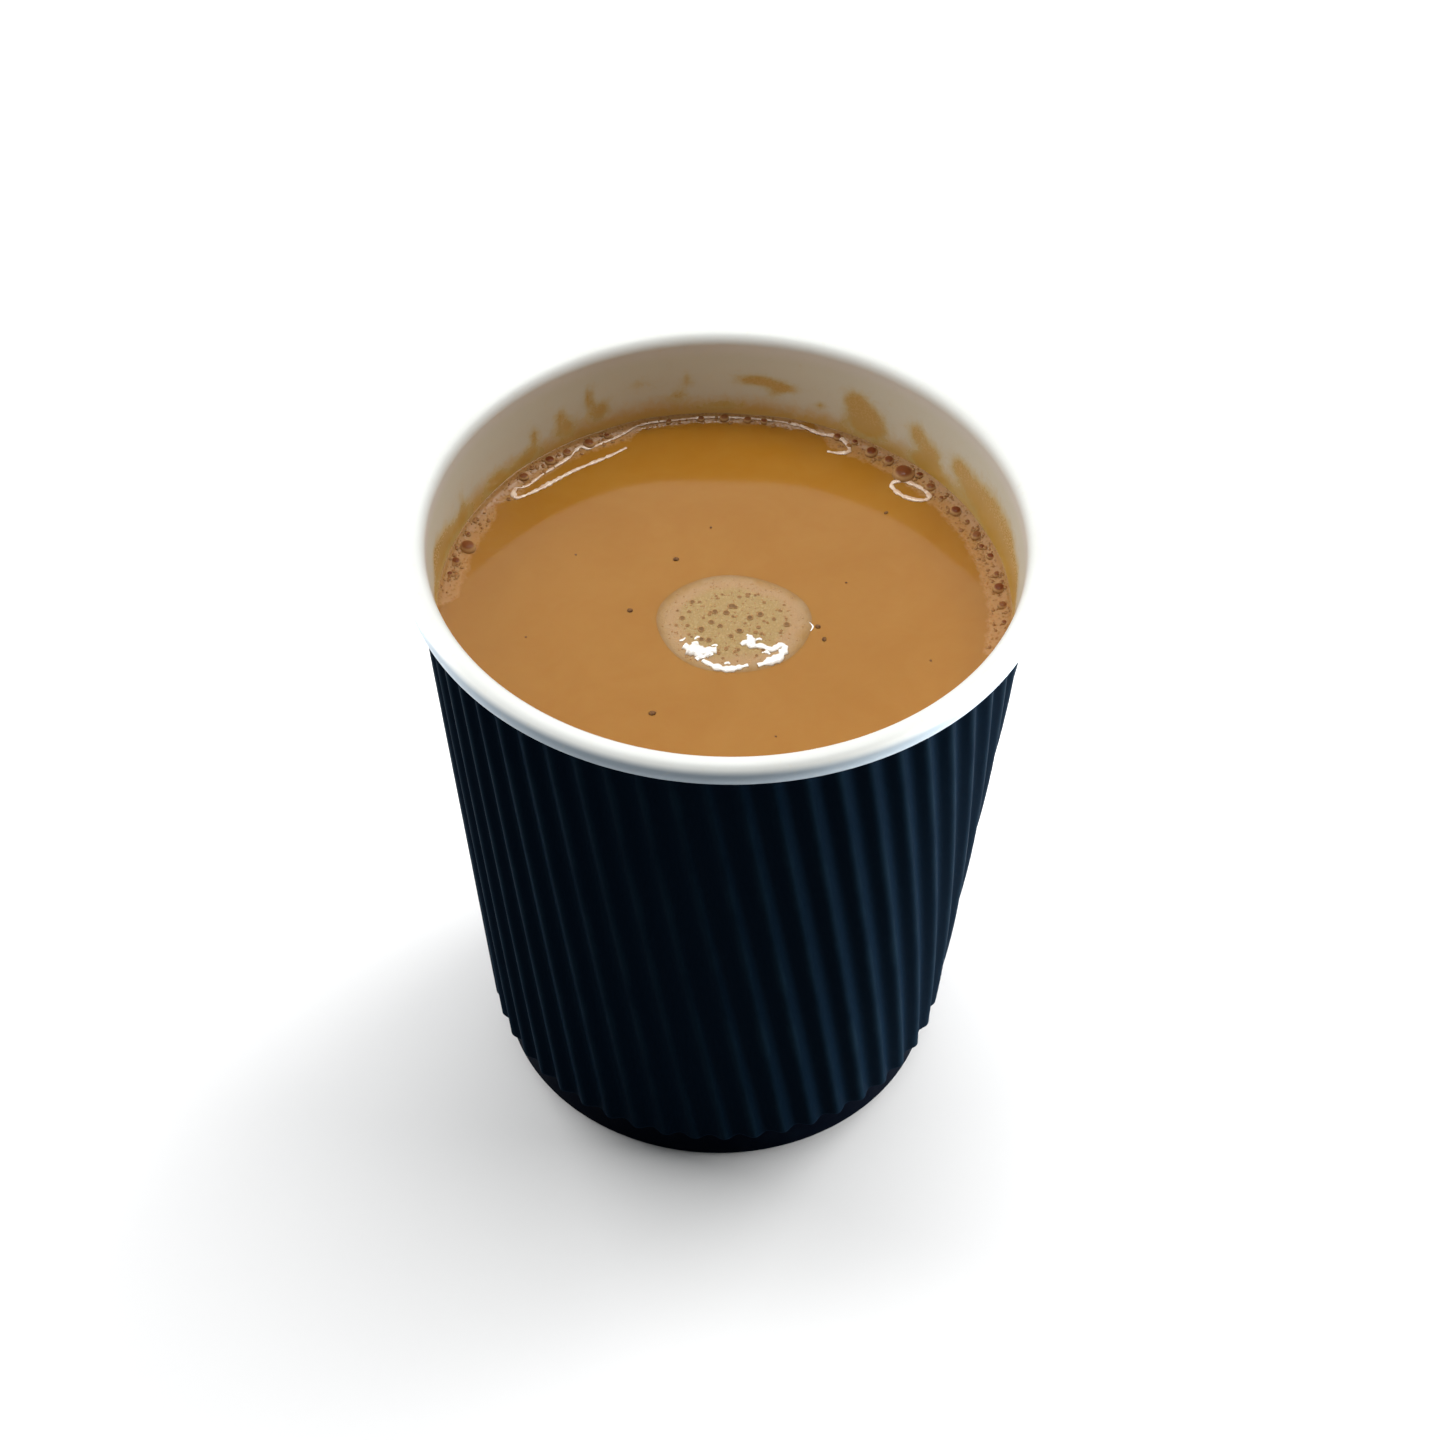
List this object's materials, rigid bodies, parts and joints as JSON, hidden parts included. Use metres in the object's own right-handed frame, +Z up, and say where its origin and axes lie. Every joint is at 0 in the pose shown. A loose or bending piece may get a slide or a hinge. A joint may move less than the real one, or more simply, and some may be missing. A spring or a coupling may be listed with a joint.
{
  "type": "masala chai in a ripple-wall paper cup",
  "caption": "Milky spiced tea in a small round paper cup with a rolled white rim and a dark corrugated sleeve, filled to just below the rim, with a raft of froth.",
  "frame": {"origin": "on the table, under the middle of the cup", "axes": "+Z up along the cup's axis, -Y towards the viewer of the reference picture, +X to the viewer's right"},
  "size_m": [0.08, 0.08, 0.087],
  "materials": {
    "cup_paper": "satin coated paperboard, dark printed below the sleeve",
    "sleeve_paper": "matt black-navy corrugated paper",
    "tea": "wet, glossy, opaque milky tea",
    "froth": "wet fine foam"
  },
  "bodies": {
    "root": {"cup_wall": "cup_paper", "cup_base": "cup_paper", "ripple_sleeve": "sleeve_paper", "tea": "tea", "froth": "froth"}
  },
  "joints": []
}
